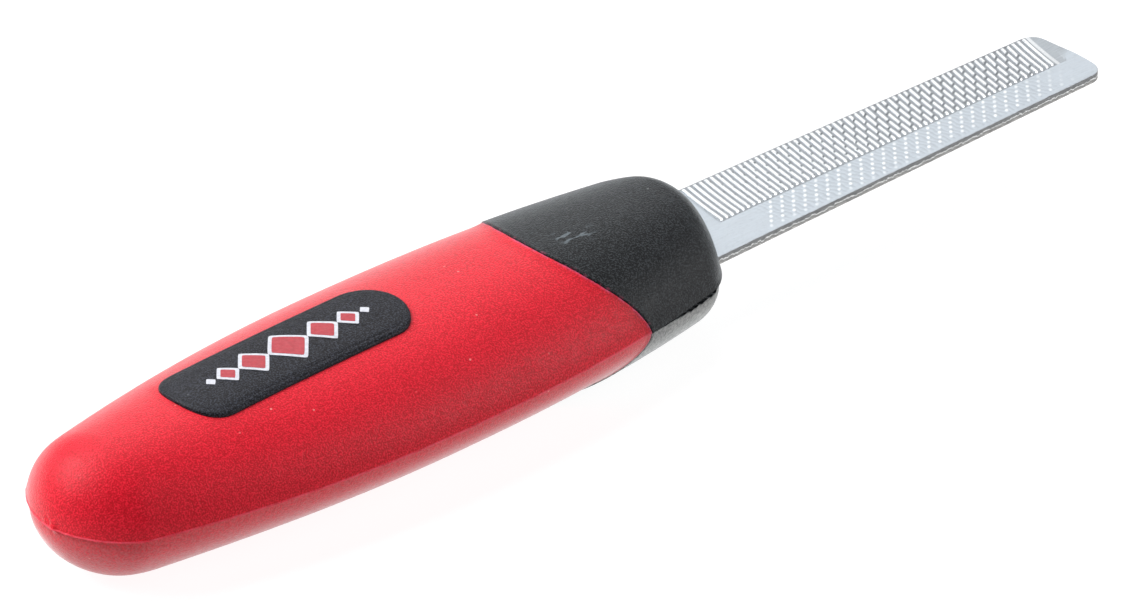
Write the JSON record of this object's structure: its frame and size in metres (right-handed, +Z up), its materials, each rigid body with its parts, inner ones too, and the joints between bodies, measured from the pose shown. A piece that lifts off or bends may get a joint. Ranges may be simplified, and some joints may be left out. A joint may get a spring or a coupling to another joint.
{
  "type": "claw file",
  "caption": "Hand file for claws: a thin tapered steel file blade fixed in a flat teardrop handle with a soft two-colour cover and a raised badge.",
  "frame": {"origin": "under the middle of the tool, on the surface that the handle lies on", "axes": "+X along the tool from the butt to the blade tip, +Y across it, +Z up through the badge"},
  "size_m": [0.17, 0.0338, 0.0187],
  "materials": {
    "blade_steel": "ground and file cut",
    "core_plastic": "moulded",
    "red_soft": "matte, fine grain",
    "black_soft": "matte, fine grain",
    "badge_black": "matte, fine grain"
  },
  "bodies": {
    "root": {"file_blade": "blade_steel", "core_upper": "core_plastic", "core_lower": "core_plastic", "grip_upper": "red_soft", "grip_lower": "red_soft", "collar_upper": "black_soft", "collar_lower": "black_soft", "badge_pad": "badge_black"}
  },
  "joints": []
}
